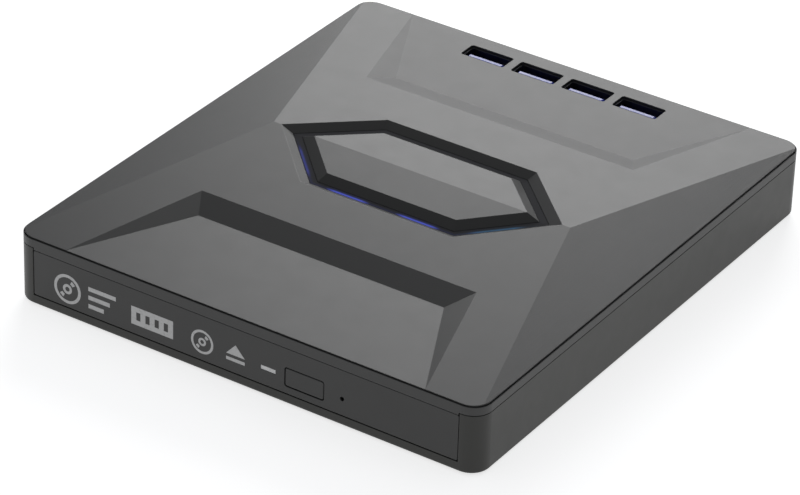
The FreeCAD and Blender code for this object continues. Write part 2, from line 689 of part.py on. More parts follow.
# ---------------------------------------------------------------- bezel and eject button
def front_bezel():
    edge = 1.2             # thickness of the bezel's rim
    body = rbox_y(-BEZ_X, BEZ_X, BEZ_Y0, TRAY_Y0, BEZ_Z0, BEZ_Z1, 0.5)
    body = body.cut(box(-BEZ_X + edge, BEZ_X - edge, BEZ_Y0 + BEZ_T, TRAY_Y0 + OVER,
                        BEZ_Z0 + edge, BEZ_Z1 - edge))
    ribs = [box(x - 0.6, x + 0.6, BEZ_Y0 + BEZ_T - BITE, TRAY_Y0, BEZ_Z0 + 0.8, BEZ_Z1 - 0.8)
            for x in (-56.0, -30.0, 0.0, 44.0, 56.0)]
    out_y = -HALF_D - OVER
    in_y = BEZ_Y0 + BEZ_T + 0.55
    button_hole = rbox_y(BTN_X0 - BTN_GAP, BTN_X1 + BTN_GAP, out_y, in_y,
                         BTN_Z0 - BTN_GAP, BTN_Z1 + BTN_GAP, 0.8)
    lamp_hole = box(LED_X - 2.25, LED_X + 2.25, out_y, in_y, LED_Z - 0.6, LED_Z + 0.6)
    release_hole = cyl_y(PIN_X, PIN_Z, out_y, in_y, PIN_R)
    return fuse([body] + ribs).cut([button_hole, lamp_hole, release_hole])


def lamp_lens():
    return fuse([box(LED_X - 2.2, LED_X + 2.2, BEZ_Y0 + 0.05, -77.4, LED_Z - 0.55, LED_Z + 0.55),
                 box(LED_X - 2.8, LED_X + 2.8, -77.5, TRAY_Y0, LED_Z - 0.9, LED_Z + 0.9)])


def eject_button():
    """Cap with a flange behind the bezel and a stem that meets the switch."""
    cap = rbox_y(BTN_X0, BTN_X1, BEZ_Y0, BTN_BACK - 0.3, BTN_Z0, BTN_Z1, 0.6)
    flange = box(BTN_X0 - 0.6, BTN_X1 + 0.6, BTN_BACK - 0.45, BTN_BACK, BTN_Z0 - 0.5, BTN_Z1 + 0.5)
    button = fuse([cap, flange, cyl_y(SWITCH_X, BTN_CZ, BTN_BACK - BITE, -76.3, 0.6)])
    front_edges = [e for e in button.Edges if e.BoundBox.YMax < BEZ_Y0 + 0.01]
    return button.makeChamfer(0.15, front_edges)


def button_spring():
    """Compression coil between the button's flange and the front wall of the tray."""
    length = TRAY_Y0 - BTN_BACK - 2 * SPRING_END
    path = Part.Wire(Part.makeHelix(SPRING_PITCH, length, SPRING_R).Edges)
    first = path.Edges[0]
    start = first.valueAt(first.FirstParameter)
    section = Part.Wire(Part.makeCircle(SPRING_WIRE, start, first.tangentAt(first.FirstParameter)))
    coil = path.makePipeShell([section], True, True)
    coil.rotate(V(0, 0, 0), V(1, 0, 0), -90)
    coil.translate(V(SPRING_X, BTN_BACK + SPRING_END, BTN_CZ))
    return coil


def eject_switch():
    return fuse([box(SWITCH_X - 1.4, SWITCH_X + 1.4, -75.3, TRAY_Y0, BTN_CZ - 1.4, BTN_CZ + 1.4),
                 cyl_y(SWITCH_X, BTN_CZ, -75.5, -75.2, 0.6)])


# ---------------------------------------------------------------- traverse
def traverse_frame():
    """Pressed frame that carries the rods, the sled motor and the spindle."""
    plate = [box(-22, 26.4, ROD_Y0, 4.0, FRAME_Z0, FRAME_Z1),
             box(20, 28, -48.0, 4.0, FRAME_Z0, FRAME_Z1)]
    plate += posts(LUGS, FRAME_Z0, FRAME_Z1, 4.2)
    for x, y in LUGS:
        inner = 20 if x > 0 else -20
        plate.append(box(min(x, inner), max(x, inner), y - 3.5, y + 3.5, FRAME_Z0, FRAME_Z1))
    for x in (-ROD_X, ROD_X):
        plate.append(box(x - 1.8, x + 1.8, ROD_Y0, ROD_Y0 + 0.8, FRAME_Z0, 7.6))
        plate.append(box(x - 1.8, x + 1.8, ROD_Y1 - 0.8, ROD_Y1, FRAME_Z0, 7.6))
    plate.append(box(LEAD_X - 1.4, LEAD_X + 1.4, -72.6, -71.8, FRAME_Z0, 7.4))
    sled_window = box(-12, 12, -69, -30, 3, 5)
    screw_window = box(21.5, 24.5, -70, -31, 3, 5)
    motor_window = box(20.2, 25.8, -29.6, -17.4, 3, 5)
    holes = [cyl_y(x, ROD_Z, -75, -20, 1.0) for x in (-ROD_X, ROD_X)]
    holes.append(cyl_y(LEAD_X, ROD_Z, -74, -70, LEAD_TIP_HOLE_R))
    return fuse(plate).cut([sled_window, screw_window, motor_window] + holes + posts(LUGS, 3, 5, 2.0))


def damper_bushes():
    bushes = []
    for x, y in LUGS:
        neck = fuse([cyl(x, y, FRAME_Z0 - 0.2, 6.6, 1.95), cyl(x, y, FRAME_Z1 + BITE, 6.6, 3.0)])
        bushes.append(neck.cut(cyl(x, y, 3, 7, 1.0)))
    return group(bushes)


def traverse_screws():
    return group([fuse([cyl(x, y, 3.42, 3.6, 1.9), cyl(x, y, 3.5, 8.4, 0.9)]) for x, y in LUGS])


def guide_rods():
    return group([cyl_y(x, ROD_Z, ROD_Y0, ROD_Y1, ROD_R) for x in (-ROD_X, ROD_X)])


def sled_motor():
    can = fuse([cyl_y(LEAD_X, ROD_Z, -29.0, -18.0, 2.55),
                box(LEAD_X - 2.2, LEAD_X + 5.0, -22.0, -18.0, FRAME_Z1, FRAME_Z1 + 0.8)])
    return can.cut(cyl_y(LEAD_X, ROD_Z, -30, -20, 1.07))


def lead_screw():
    parts = [cyl_y(LEAD_X, ROD_Z, -71.2, -24.0, 0.8),
             cyl_y(LEAD_X, ROD_Z, -72.4, -71.0, LEAD_TIP_R),
             cyl_y(LEAD_X, ROD_Z, -25.0, -20.5, 1.0)]
    for i in range(13):
        y = -68.5 + LEAD_PITCH * i
        parts.append(cyl_y(LEAD_X, ROD_Z, y, y + 1.2, 1.0))
    return fuse(parts)


# ---------------------------------------------------------------- spindle
BALL_R = 0.98
BALL_Z = 12.0
BALL_AT = 6.42             # balls drawn pressed in, as they are with a disc on the hub
BALL_WINDOW_R = 0.72       # window each ball looks through, smaller than the ball
BALL_LIP_R = 7.15          # inner face of the lip round the window
BALL_TURN = 75.0           # direction of the first ball, degrees
HUB_R = 7.45               # boss that the disc's centre hole goes over


def ball_directions():
    angles = [math.radians(BALL_TURN + 120 * k) for k in range(3)]
    return [V(math.cos(a), math.sin(a), 0) for a in angles]


def ball_centre(direction):
    return V(0, SPIN_Y, BALL_Z) + direction * BALL_AT


def spindle_stator():
    return turned([(1.56, 4.6), (13.5, 4.6), (13.5, 5.4), (9.0, 5.4), (9.0, 7.0), (3.4, 7.0),
                   (3.4, 8.0), (1.56, 8.0)])


def turntable():
    """Shaft, rotor bell, disc seat and centring boss in one turned piece."""
    bell = turned([(0, 4.8), (1.5, 4.8), (1.5, 8.3), (11.0, 8.3), (11.0, 6.0), (12.4, 6.0),
                   (12.4, 9.6), (14.5, 9.8), (14.5, SEAT_Z), (HUB_R, SEAT_Z), (HUB_R, 12.8),
                   (6.2, 13.5), (1.2, 13.5), (1.2, 13.2), (0, 13.2)])
    pockets = []
    for d in ball_directions():
        start = ball_centre(d) - d * 1.15
        depth = BALL_LIP_R - BALL_AT + 1.15
        pockets.append(Part.makeCylinder(BALL_R + 0.05, depth, start, d))
        pockets.append(Part.makeCylinder(BALL_WINDOW_R, depth + 2 * OVER, start, d))
    return bell.cut(pockets)


def clamp_balls():
    return group([Part.makeSphere(BALL_R, ball_centre(d)) for d in ball_directions()])


def turntable_mat():
    top = SEAT_Z + 0.22
    return turned([(10.6, SEAT_Z), (14.2, SEAT_Z), (14.2, top), (10.6, top)])


# ---------------------------------------------------------------- pickup sled and lens
def pickup_sled():
    """Die cast sled: a round bearing on the left rod, a square one on the right, a thread follower."""
    body = fuse([box(-13.5, 13.5, LENS_Y - 3.2, LENS_Y + 14.0, 5.0, 8.6),
                 box(-19.2, -13.0, LENS_Y + 1.5, LENS_Y + 11.5, 4.9, 7.6),
                 box(13.0, 19.2, LENS_Y + 1.5, LENS_Y + 11.5, 4.9, 7.6),
                 box(19.0, 21.8, LENS_Y + 4.5, LENS_Y + 8.5, 5.4, 7.0)])
    square_hole = box(ROD_X - ROD_HOLE_R, ROD_X + ROD_HOLE_R, -60, -10,
                      ROD_Z - ROD_HOLE_R, ROD_Z + ROD_HOLE_R)
    return body.cut([cyl(0, SPIN_Y, 4, 10, 15.2),
                     box(-7.0, 7.0, LENS_Y - 4, LENS_Y + 6.5, 7.4, 9),
                     cyl_y(-ROD_X, ROD_Z, -60, -10, ROD_HOLE_R), square_hole])


HOLDER_Z0 = 8.05
HOLDER_Z1 = 9.5
LENS_Z = 9.1               # seat of the lens in its holder
LENS_R = 2.2


def lens_holder():
    holder = rbox(-5.2, 5.2, LENS_Y - 2.9, LENS_Y + 4.6, HOLDER_Z0, HOLDER_Z1, 0.8)
    return holder.cut([cyl(0, LENS_Y, 7, 10, 1.6), cyl(0, LENS_Y, LENS_Z, 10, LENS_R + 0.05)])


def objective_lens():
    curve_r = 4.4
    dome = Part.makeSphere(curve_r, V(0, LENS_Y, LENS_Z + 0.9 - curve_r))
    return dome.common(cyl(0, LENS_Y, LENS_Z, 11, LENS_R))


# ---------------------------------------------------------------- latch
def latch_hook():
    """Hook drawn engaged round the pin, then turned to its released angle."""
    near_y = CATCH_Y + 1.5
    hook = fuse([cyl(HOOK_X, HOOK_Y, HOOK_Z0, HOOK_Z1, 1.9),
                 box(HOOK_X - HOOK_HALF, HOOK_X + HOOK_HALF, near_y, HOOK_Y, HOOK_Z0, HOOK_Z1),
                 box(PIN_X - HOOK_HALF, CATCH_X + 0.6, near_y, near_y + 1.7, HOOK_Z0, HOOK_Z1),
                 box(PIN_X - HOOK_HALF, PIN_X + HOOK_HALF, near_y, near_y + 0.8, HOOK_Z0, 8.0)])
    hook = hook.cut(cyl(HOOK_X, HOOK_Y, 3, 5, PIVOT_R + 0.05))
    hook.rotate(V(HOOK_X, HOOK_Y, 0), V(0, 0, 1), HOOK_REST)
    return hook


def latch_solenoid():
    return group([rbox_y(44.5, 52.5, -68.0, -56.0, 4.6, 8.9, 1.0), cyl_y(48.5, 6.75, -56.0, -51.0, 1.2)])


# ---------------------------------------------------------------- write every piece
PIECES = [top_cover, light_ring, light_board, ring_lamps, light_flex, board_screws,
          base_shell, rubber_feet, case_screws, hub_board, hub_chips, usbc_shell, usbc_tongue,
          power_jack, jack_pin, sata_connector, drive_tub, drive_lid, lid_screws, latch_pin,
          guide_right, rail_right, ffc_ribbon, tray, tray_bottom, tray_board, tray_chips,
          front_bezel, lamp_lens, eject_button, button_spring, eject_switch, traverse_frame,
          damper_bushes, traverse_screws, guide_rods, sled_motor, lead_screw, spindle_stator,
          turntable, clamp_balls, turntable_mat, pickup_sled, lens_holder, objective_lens,
          latch_hook, latch_solenoid]
for piece in PIECES:
    save(piece.__name__, piece())
for number, port_x in enumerate(PORTS, 1):
    save("usb_shell_%d" % number, usb_shell(port_x))
    save("usb_tongue_%d" % number, usb_tongue(port_x))
save("guide_left", mirror_x(guide_right()))
save("rail_left", mirror_x(rail_right()))
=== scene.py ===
import json
import math

import bmesh
import bpy
from mathutils import Matrix, Vector


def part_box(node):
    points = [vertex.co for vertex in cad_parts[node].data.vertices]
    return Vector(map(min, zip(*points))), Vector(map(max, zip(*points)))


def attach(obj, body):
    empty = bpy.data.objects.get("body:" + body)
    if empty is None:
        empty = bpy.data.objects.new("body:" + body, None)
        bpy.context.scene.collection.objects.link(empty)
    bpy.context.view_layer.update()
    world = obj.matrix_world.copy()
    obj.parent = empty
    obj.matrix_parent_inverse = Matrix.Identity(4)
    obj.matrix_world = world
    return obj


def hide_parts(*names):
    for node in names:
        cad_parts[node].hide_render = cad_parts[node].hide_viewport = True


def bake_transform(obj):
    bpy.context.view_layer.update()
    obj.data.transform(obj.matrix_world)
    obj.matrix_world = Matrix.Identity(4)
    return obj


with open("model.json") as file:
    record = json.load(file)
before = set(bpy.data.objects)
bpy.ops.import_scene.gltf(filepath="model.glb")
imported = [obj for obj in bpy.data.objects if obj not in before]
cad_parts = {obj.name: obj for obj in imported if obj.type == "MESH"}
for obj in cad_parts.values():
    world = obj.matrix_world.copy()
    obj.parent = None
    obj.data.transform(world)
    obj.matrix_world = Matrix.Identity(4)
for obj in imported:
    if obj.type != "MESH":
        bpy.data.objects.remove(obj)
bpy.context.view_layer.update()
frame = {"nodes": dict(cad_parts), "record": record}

MM = 0.001
NODES = frame["nodes"]

# ------------------------------------------------------------ places taken from the frame
BEZEL_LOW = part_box("front_bezel")[0]
RING_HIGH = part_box("light_ring")[1]
LAMP_NEAR = (10.7 * MM, 16.58 * MM)     # lamps under the long sides of the ring
LAMP_FAR = (29.2 * MM, 8.87 * MM)       # lamps under its slanted sides
RING_HALF_Y = RING_HIGH.y               # outer edge of the ring: long sides
RING_TIP = RING_HIGH.x                  # and the tip where its slanted sides meet


def middle(node):
    low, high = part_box(node)
    return (low + high) / 2


# ------------------------------------------------------------ shader helpers
class Shader:
    """A material with a Principled shader and short calls for the nodes that feed it."""

    def __init__(self, name, color, rough, metal=0.0, **sockets):
        self.mat = bpy.data.materials.new(name)
        self.mat.use_nodes = True
        self.tree = self.mat.node_tree
        self.bsdf = self.tree.nodes["Principled BSDF"]
        self.put("Base Color", (*color, 1.0))
        self.put("Roughness", rough)
        self.put("Metallic", metal)
        for key, value in sockets.items():
            self.put(key.replace("_", " "), value)
        self.coord = self.tree.nodes.new("ShaderNodeTexCoord")

    def put(self, socket, value):
        self.bsdf.inputs[socket].default_value = value

    def link(self, source, target):
        self.tree.links.new(source, target)

    def node(self, kind, **settings):
        made = self.tree.nodes.new("ShaderNode" + kind)
        for key, value in settings.items():
            setattr(made, key, value)
        return made

    def place(self, scale):
        mapping = self.node("Mapping")
        mapping.inputs["Scale"].default_value = scale
        self.link(self.coord.outputs["Object"], mapping.inputs["Vector"])
        return mapping.outputs["Vector"]

    def noise(self, scale, detail=4.0, rough=0.55, vector=None):
        made = self.node("TexNoise")
        made.inputs["Scale"].default_value = scale
        made.inputs["Detail"].default_value = detail
        made.inputs["Roughness"].default_value = rough
        self.link(vector or self.coord.outputs["Object"], made.inputs["Vector"])
        return made.outputs["Fac"]

    def cells(self, scale):
        made = self.node("TexVoronoi")
        made.inputs["Scale"].default_value = scale
        self.link(self.coord.outputs["Object"], made.inputs["Vector"])
        return made.outputs["Distance"]

    def math(self, operation, a, b=None):
        made = self.node("Math", operation=operation)
        for slot, value in enumerate((a, b)):
            if value is None:
                continue
            if isinstance(value, (int, float)):
                made.inputs[slot].default_value = value
            else:
                self.link(value, made.inputs[slot])
        return made.outputs[0]

    def span(self, value, low, high, to_low, to_high):
        made = self.node("MapRange")
        self.link(value, made.inputs["Value"])
        for key, number in (("From Min", low), ("From Max", high),
                            ("To Min", to_low), ("To Max", to_high)):
            made.inputs[key].default_value = number
        return made.outputs["Result"]

    def ramp(self, value, stops):
        made = self.node("ValToRGB")
        bar = made.color_ramp
        while len(bar.elements) < len(stops):
            bar.elements.new(0.5)
        for element, (at, color) in zip(bar.elements, stops):
            element.position = at
            element.color = (*color, 1.0)
        self.link(value, made.inputs["Fac"])
        return made.outputs["Color"]

    def color(self, value, dark, light, low=0.3, high=0.7):
        self.link(self.ramp(value, [(low, dark), (high, light)]), self.bsdf.inputs["Base Color"])

    def rough(self, value, low, high):
        self.link(self.span(value, 0.3, 0.7, low, high), self.bsdf.inputs["Roughness"])

    def relief(self, heights, edge=0.0):
        """Bump from (value, strength, distance) triples, over edges rounded by edge metres."""
        normal = None
        if edge:
            round_off = self.node("Bevel", samples=6)
            round_off.inputs["Radius"].default_value = edge
            normal = round_off.outputs["Normal"]
        for value, strength, distance in heights:
            bump = self.node("Bump")
            bump.inputs["Strength"].default_value = strength
            bump.inputs["Distance"].default_value = distance
            self.link(value, bump.inputs["Height"])
            if normal:
                self.link(normal, bump.inputs["Normal"])
            normal = bump.outputs["Normal"]
        if normal:
            self.link(normal, self.bsdf.inputs["Normal"])


def shade(color, factor):
    return tuple(channel * factor for channel in color)


# ------------------------------------------------------------ materials
def moulded_plastic(name, color, rough, grain=1.0, edge=0.25 * MM, shine=0.5):
    s = Shader(name, color, rough)
    s.put("Specular IOR Level", shine)
    fine = s.noise(5200, 3, 0.6)
    pits = s.cells(3400)
    broad = s.noise(38, 5, 0.6)
    rubbed = s.noise(210, 4, 0.65)
    s.color(broad, shade(color, 0.94), shade(color, 1.06))
    s.rough(rubbed, rough - 0.02, rough + 0.02)
    s.relief([(fine, 0.16 * grain, 0.02 * MM), (pits, 0.12 * grain, 0.02 * MM)], edge)
    return s.mat


def cover_plastic():
    """Semi gloss textured plastic; the two side facets carry a fine brushed pattern along Y."""
    color = (0.022, 0.022, 0.0215)
    s = Shader("cover_plastic", color, 0.42, IOR=1.5)
    fine = s.noise(5200, 3, 0.6)
    pits = s.cells(3400)
    broad = s.noise(30, 5, 0.6)
    rubbed = s.noise(160, 4, 0.65)
    streaks = s.noise(1.0, 6, 0.7, s.place((2600, 70, 900)))
    split = s.node("SeparateXYZ")
    s.link(s.coord.outputs["Normal"], split.inputs[0])
    tilt = s.math("ABSOLUTE", split.outputs["X"])
    side = s.span(tilt, 0.12, 0.16, 0.0, 1.0)
    steep = s.span(tilt, 0.2, 0.24, 1.0, 0.0)
    brushed = s.math("MULTIPLY", s.math("MULTIPLY", side, steep), streaks)
    s.color(broad, shade(color, 0.95), shade(color, 1.06))
    s.rough(rubbed, 0.445, 0.465)
    s.relief([(fine, 0.14, 0.02 * MM), (pits, 0.10, 0.02 * MM), (brushed, 0.7, 0.05 * MM)],
             0.22 * MM)
    return s.mat


def lit_ring():
    """Frosted light guide: only its outer front edge shines, brightest over each lamp."""
    # the dark base colour is painted shade: it makes the frosted guide read as shaded at the
    # bottom of the groove
    s = Shader("light_guide", (0.042, 0.042, 0.046), 0.85, IOR=1.49)
    s.put("Specular IOR Level", 0.12)
    split = s.node("SeparateXYZ")
    s.link(s.coord.outputs["Object"], split.inputs[0])
    x = s.math("ABSOLUTE", split.outputs["X"])
    y = s.math("ABSOLUTE", split.outputs["Y"])
    glow = None
    for lamp_x, lamp_y, reach, level in ((*LAMP_NEAR, 6.9 * MM, 1.0), (*LAMP_FAR, 8.5 * MM, 0.35)):
        dx = s.math("SUBTRACT", x, lamp_x)
        dy = s.math("SUBTRACT", y, lamp_y)
        far = s.math("SQRT", s.math("ADD", s.math("MULTIPLY", dx, dx), s.math("MULTIPLY", dy, dy)))
        part = s.math("MULTIPLY", s.span(far, reach, reach * 0.6, 0.0, 1.0), level)
        glow = part if glow is None else s.math("MAXIMUM", glow, part)
    glow = s.math("MAXIMUM", glow, 0.05)
    side = s.math("SUBTRACT", y, RING_HALF_Y)
    slant = s.math("DIVIDE", s.math("SUBTRACT", s.math("ADD", x, y), RING_TIP), math.sqrt(2))
    inward = s.math("MULTIPLY", s.math("MAXIMUM", side, slant), -1.0)
    core = s.math("MULTIPLY", s.span(inward, 0.10 * MM, 0.25 * MM, 0.0, 1.0),
                  s.span(inward, 0.95 * MM, 0.6 * MM, 0.0, 1.0))
    halo = s.span(inward, 1.7 * MM, 0.2 * MM, 0.0, 0.22)
    front = s.span(split.outputs["Y"], -1.0 * MM, -6.0 * MM, 0.0, 1.0)
    haze = s.span(s.noise(900, 3, 0.6), 0.3, 0.7, 0.85, 1.1)
    lit = s.math("MULTIPLY", s.math("MULTIPLY", glow, haze), front)
    level = s.math("MULTIPLY", lit, s.math("ADD", core, halo))
    cool = s.span(split.outputs["X"], 20 * MM, 27 * MM, 0.0, 1.0)
    s.link(s.ramp(cool, [(0.0, (0.07, 0.10, 0.62)), (1.0, (0.07, 0.26, 0.5))]),
           s.bsdf.inputs["Emission Color"])
    s.link(s.math("MULTIPLY", level, 0.58), s.bsdf.inputs["Emission Strength"])
    s.relief([(s.noise(2600, 3, 0.6), 0.15, 0.03 * MM)], 0.15 * MM)
    return s.mat


def lamp_body():
    s = Shader("lamp_body", (0.55, 0.6, 0.8), 0.35)
    s.color(s.noise(900, 3), (0.45, 0.5, 0.75), (0.7, 0.74, 0.9))
    s.put("Emission Color", (0.1, 0.2, 1.0, 1.0))
    s.put("Emission Strength", 1.5)
    s.relief([(s.noise(3000, 2), 0.1, 0.02 * MM)], 0.1 * MM)
    return s.mat


def sheet_steel(name, color, rough, along=(1, 0, 0), spangle=0.5):
    """Rolled zinc coated sheet: soft crystal patches under fine rolling lines."""
    s = Shader(name, color, rough, 1.0)
    stretch = tuple(40 if axis else 1500 for axis in along)
    lines = s.noise(1.0, 5, 0.7, s.place(stretch))
    patches = s.cells(260)
    broad = s.noise(45, 4)
    mixed = s.math("ADD", s.math("MULTIPLY", lines, 0.5),
                   s.math("ADD", s.math("MULTIPLY", patches, spangle * 0.5),
                          s.math("MULTIPLY", broad, 0.25)))
    s.color(mixed, shade(color, 0.8), shade(color, 1.1))
    s.rough(mixed, rough - 0.08, rough + 0.1)
    s.relief([(lines, 0.12, 0.02 * MM), (broad, 0.1, 0.15 * MM)], 0.12 * MM)
    return s.mat


def ground_steel(name, color, rough, edge=0.1 * MM):
    s = Shader(name, color, rough, 1.0)
    rings = s.noise(1.0, 4, 0.7, s.place((900, 5200, 900)))
    broad = s.noise(160, 4)
    s.color(broad, shade(color, 0.86), shade(color, 1.08))
    s.rough(broad, rough - 0.04, rough + 0.07)
    s.relief([(rings, 0.08, 0.01 * MM)], edge)
    return s.mat


def circuit_board():
    """Solder mask over copper tracks, with small tinned pads."""
    color = (0.012, 0.10, 0.045)
    s = Shader("circuit_board", color, 0.32)
    s.put("Coat Weight", 0.25)
    s.put("Coat Roughness", 0.2)
    bricks = s.node("TexBrick", offset=0.35, squash=1.0)
    bricks.inputs["Scale"].default_value = 260
    bricks.inputs["Mortar Size"].default_value = 0.035
    bricks.inputs["Brick Width"].default_value = 1.7
    bricks.inputs["Row Height"].default_value = 0.22
    bricks.inputs["Color1"].default_value = (*color, 1.0)
    bricks.inputs["Color2"].default_value = (0.018, 0.14, 0.06, 1.0)
    bricks.inputs["Mortar"].default_value = (0.006, 0.055, 0.028, 1.0)
    s.link(s.coord.outputs["Object"], bricks.inputs["Vector"])
    dots = s.span(s.cells(420), 0.10, 0.14, 1.0, 0.0)
    mix = s.node("Mix", data_type="RGBA")
    s.link(dots, mix.inputs["Factor"])
    s.link(bricks.outputs["Color"], mix.inputs["A"])
    mix.inputs["B"].default_value = (0.55, 0.50, 0.36, 1.0)
    s.link(mix.outputs["Result"], s.bsdf.inputs["Base Color"])
    s.rough(s.noise(300, 3), 0.27, 0.42)
    s.relief([(bricks.outputs["Fac"], -0.25, 0.03 * MM)], 0.05 * MM)
    return s.mat


def chip_black():
    s = Shader("chip_black", (0.016, 0.016, 0.017), 0.55)
    s.color(s.noise(420, 4), (0.012, 0.012, 0.013), (0.024, 0.024, 0.025))
    s.rough(s.noise(900, 3), 0.5, 0.64)
    s.relief([(s.noise(7000, 2), 0.2, 0.02 * MM)], 0.08 * MM)
    return s.mat


def flex_film():
    """Pale film over flat conductors that run along Y."""
    s = Shader("flex_film", (0.55, 0.50, 0.38), 0.3)
    wave = s.node("TexWave", wave_type="BANDS", bands_direction="X")
    wave.inputs["Scale"].default_value = 320
    wave.inputs["Distortion"].default_value = 0.0
    s.link(s.coord.outputs["Object"], wave.inputs["Vector"])
    s.color(wave.outputs["Fac"], (0.62, 0.60, 0.52), (0.42, 0.33, 0.2))
    s.rough(s.noise(200, 3), 0.24, 0.36)
    s.relief([(wave.outputs["Fac"], 0.3, 0.03 * MM)])
    return s.mat


def port_blue():
    color = (0.012, 0.035, 0.42)
    s = Shader("socket_blue", color, 0.3)
    s.color(s.noise(260, 4), shade(color, 0.85), shade(color, 1.15))
    s.rough(s.noise(900, 3), 0.26, 0.36)
    s.relief([(s.noise(5200, 2), 0.12, 0.02 * MM)], 0.12 * MM)
    return s.mat


def rubber(name, color):
    s = Shader(name, color, 0.78)
    s.put("Sheen Weight", 0.15)
    s.color(s.noise(130, 5), shade(color, 0.8), shade(color, 1.3))
    s.rough(s.noise(600, 3), 0.7, 0.86)
    s.relief([(s.noise(3600, 3), 0.3, 0.04 * MM)], 0.3 * MM)
    return s.mat


def brass():
    s = Shader("jack_brass", (0.72, 0.52, 0.2), 0.22, 1.0)
    s.color(s.noise(500, 4), (0.6, 0.42, 0.16), (0.8, 0.6, 0.26))
    s.rough(s.noise(800, 3), 0.18, 0.32)
    s.relief([(s.noise(1.0, 4, 0.7, s.place((900, 4200, 900))), 0.08, 0.01 * MM)], 0.08 * MM)
    return s.mat


def frosted_lens():
    s = Shader("lens_cover", (0.5, 0.5, 0.5), 0.4)
    s.color(s.noise(700, 3), (0.46, 0.46, 0.47), (0.58, 0.58, 0.58))
    s.rough(s.noise(900, 2), 0.36, 0.46)
    s.relief([(s.noise(4200, 2), 0.1, 0.02 * MM)], 0.12 * MM)
    return s.mat


def lens_glass():
    s = Shader("lens_glass", (0.5, 0.6, 0.95), 0.03, IOR=1.6)
    s.put("Transmission Weight", 0.9)
    s.put("Coat Weight", 1.0)
    s.put("Coat Tint", (0.55, 0.6, 1.0, 1.0))
    s.color(s.noise(800, 2), (0.42, 0.5, 0.95), (0.62, 0.55, 0.98))
    return s.mat


def copper_wire():
    s = Shader("copper_wire", (0.75, 0.30, 0.12), 0.28, 1.0)
    turns = s.node("TexWave", wave_type="BANDS", bands_direction="Z")
    turns.inputs["Scale"].default_value = 1500
    s.link(s.coord.outputs["Object"], turns.inputs["Vector"])
    s.color(turns.outputs["Fac"], (0.45, 0.15, 0.05), (0.85, 0.38, 0.16))
    s.relief([(turns.outputs["Fac"], 0.5, 0.05 * MM)])
    return s.mat


def gold_plate():
    s = Shader("gold_plate", (0.9, 0.62, 0.2), 0.2, 1.0)
    s.color(s.noise(900, 3), (0.8, 0.52, 0.16), (0.95, 0.7, 0.28))
    s.rough(s.noise(1200, 3), 0.16, 0.3)
    return s.mat


def pale_print():
    """Slightly worn pale printing ink."""
    s = Shader("pale_print", (0.5, 0.5, 0.5), 0.5)
    s.color(s.noise(1500, 5, 0.7), (0.26, 0.26, 0.26), (0.42, 0.42, 0.42), 0.25, 0.45)
    s.rough(s.noise(700, 3), 0.45, 0.6)
    return s.mat


MATERIALS = {
    "cover_plastic": cover_plastic(),
    "base_plastic": moulded_plastic("base_plastic", (0.026, 0.026, 0.0235), 0.42, shine=0.34),
    "bezel_plastic": moulded_plastic("bezel_plastic", (0.025, 0.025, 0.0245), 0.44, 1.2,
                                     shine=0.42),
    "light_guide": lit_ring(),
    "lamp_body": lamp_body(),
    "circuit_board": circuit_board(),
    "chip_black": chip_black(),
    "flex_film": flex_film(),
    "screw_steel": ground_steel("screw_steel", (0.42, 0.42, 0.44), 0.3),
    # port shells: the steel gets a very dark colour so the shells read as shaded inside the ports;
    # painted shade
    "socket_steel": sheet_steel("socket_steel", (0.13, 0.13, 0.145), 0.42, (0, 0, 1), 0.1),
    "socket_blue": port_blue(),
    "jack_brass": brass(),
    "foot_rubber": rubber("foot_rubber", (0.018, 0.018, 0.018)),
    "sheet_steel": sheet_steel("sheet_steel", (0.50, 0.51, 0.52), 0.33, (0, 1, 0), 0.6),
    "guide_plastic": moulded_plastic("guide_plastic", (0.03, 0.03, 0.032), 0.45, 0.7),
    "tray_plastic": moulded_plastic("tray_plastic", (0.020, 0.020, 0.021), 0.46, 1.3),
    "lens_cover": frosted_lens(),
    "damper_rubber": rubber("damper_rubber", (0.03, 0.03, 0.03)),
    "rod_steel": ground_steel("rod_steel", (0.62, 0.62, 0.64), 0.16),
    "motor_steel": sheet_steel("motor_steel", (0.38, 0.38, 0.40), 0.3, (0, 1, 0), 0.3),
    "spring_steel": ground_steel("spring_steel", (0.45, 0.45, 0.47), 0.25),
    "hub_plastic": moulded_plastic("hub_plastic", (0.03, 0.03, 0.031), 0.3, 0.6),
    "mat_rubber": rubber("mat_rubber", (0.012, 0.012, 0.012)),
    "sled_metal": sheet_steel("sled_metal", (0.46, 0.46, 0.47), 0.42, (0, 1, 0), 0.8),
    "lens_holder_plastic": moulded_plastic("lens_holder_plastic", (0.02, 0.02, 0.02), 0.4, 0.6),
    "lens_glass": lens_glass(),
    "switch_plastic": moulded_plastic("switch_plastic", (0.52, 0.5, 0.44), 0.42, 0.6),
}
for part in frame["record"]["subparts"]:
    mesh = NODES[part["node"]].data
    mesh.materials.clear()
    mesh.materials.append(MATERIALS[part["material_slot"]])

COPPER = copper_wire()
GOLD = gold_plate()
PRINT = pale_print()


# ------------------------------------------------------------ mesh helpers
def new_piece(name, bm, material, body, smooth=False):
    mesh = bpy.data.meshes.new(name)
    bmesh.ops.recalc_face_normals(bm, faces=bm.faces)
    bm.to_mesh(mesh)
    bm.free()
    mesh.materials.append(material)
    for face in mesh.polygons:
        face.use_smooth = smooth
    piece = bpy.data.objects.new(name, mesh)
    bpy.context.scene.collection.objects.link(piece)
    if body:
        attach(piece, body)
    return piece


def add_block(bm, low, high, bevel=0.0):
    size = high - low
    place = Matrix.Translation((low + high) / 2) @ Matrix.Diagonal((*size, 1.0))
    made = bmesh.ops.create_cube(bm, size=1.0, matrix=place)
    if bevel:
        edges = {edge for vert in made["verts"] for edge in vert.link_edges}
        bmesh.ops.bevel(bm, geom=list(edges), offset=bevel, segments=2, profile=0.5,
                        affect="EDGES")


